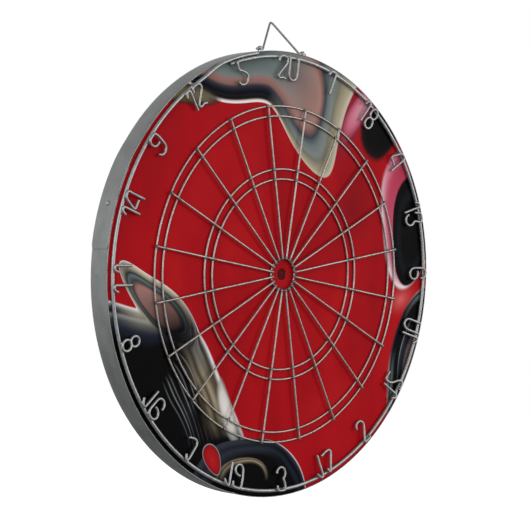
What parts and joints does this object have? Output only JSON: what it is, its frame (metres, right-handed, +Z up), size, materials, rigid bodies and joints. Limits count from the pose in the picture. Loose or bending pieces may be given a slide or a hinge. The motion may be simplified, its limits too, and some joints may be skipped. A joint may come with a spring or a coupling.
{
  "type": "wire-cage dartboard",
  "caption": "Round steel-banded wound-paper dartboard with a printed face, a welded wire scoring cage, a turning wire number ring and a swinging wire bail to hang it by.",
  "frame": {"origin": "centre of the board's back, on the plane of the wall that it hangs against", "axes": "+Y into the wall, so the playing face looks along -Y; +Z up through the 20; +X to the right of someone facing the board"},
  "size_m": [0.4485, 0.0308, 0.4807],
  "materials": {
    "back_paper": "plain dark paper sheet, matt",
    "wound_paper": "paper strip wound edge-on into a disc, matt",
    "plug_paper": "small wound plug, dyed dark red, matt",
    "printed_paper": "full-colour printed sheet, satin",
    "band_steel": "grey satin strip steel",
    "spider_wire": "drawn zinc-grey wire, soft sheen",
    "number_wire": "drawn zinc-grey wire, soft sheen",
    "hanger_wire": "drawn zinc-grey wire",
    "fitting_steel": "plain steel nail and staples"
  },
  "bodies": {
    "board": {"back_cover": "back_paper", "wound_core": "wound_paper", "bull_plug": "plug_paper", "printed_face": "printed_paper", "rim_band": "band_steel", "band_nail": "fitting_steel", "hanger_staple_left": "fitting_steel", "hanger_staple_right": "fitting_steel", "spider_ring_double_outer": "spider_wire", "spider_ring_double_inner": "spider_wire", "spider_ring_treble_outer": "spider_wire", "spider_ring_treble_inner": "spider_wire", "spider_ring_bull": "spider_wire", "spider_wire_20_1": "spider_wire", "spider_wire_1_18": "spider_wire", "spider_wire_18_4": "spider_wire", "spider_wire_4_13": "spider_wire", "spider_wire_13_6": "spider_wire", "spider_wire_6_10": "spider_wire", "spider_wire_10_15": "spider_wire", "spider_wire_15_2": "spider_wire", "spider_wire_2_17": "spider_wire", "spider_wire_17_3": "spider_wire", "spider_wire_3_19": "spider_wire", "spider_wire_19_7": "spider_wire", "spider_wire_7_16": "spider_wire", "spider_wire_16_8": "spider_wire", "spider_wire_8_11": "spider_wire", "spider_wire_11_14": "spider_wire", "spider_wire_14_9": "spider_wire", "spider_wire_9_12": "spider_wire", "spider_wire_12_5": "spider_wire", "spider_wire_5_20": "spider_wire"},
    "hanger": {"hanger": "hanger_wire"},
    "number_ring": {"number_hoop": "number_wire", "number_20": "number_wire", "number_1": "number_wire", "number_18": "number_wire", "number_4": "number_wire", "number_13": "number_wire", "number_6": "number_wire", "number_10": "number_wire", "number_15": "number_wire", "number_2": "number_wire", "number_17": "number_wire", "number_3": "number_wire", "number_19": "number_wire", "number_7": "number_wire", "number_16": "number_wire", "number_8": "number_wire", "number_11": "number_wire", "number_14": "number_wire", "number_9": "number_wire", "number_12": "number_wire", "number_5": "number_wire"}
  },
  "joints": [
    {"name": "hanger_swing", "type": "hinge", "parent": "board", "child": "hanger", "pos_m": [0, -0.0172, 0.2245], "axis": [1, 0, 0], "range_deg": [-58, 111]},
    {"name": "number_ring_turn", "type": "hinge", "parent": "board", "child": "number_ring", "pos_m": [-0.0016, -0.0261, 0.0005], "axis": [0, 1, 0], "continuous": true}
  ]
}
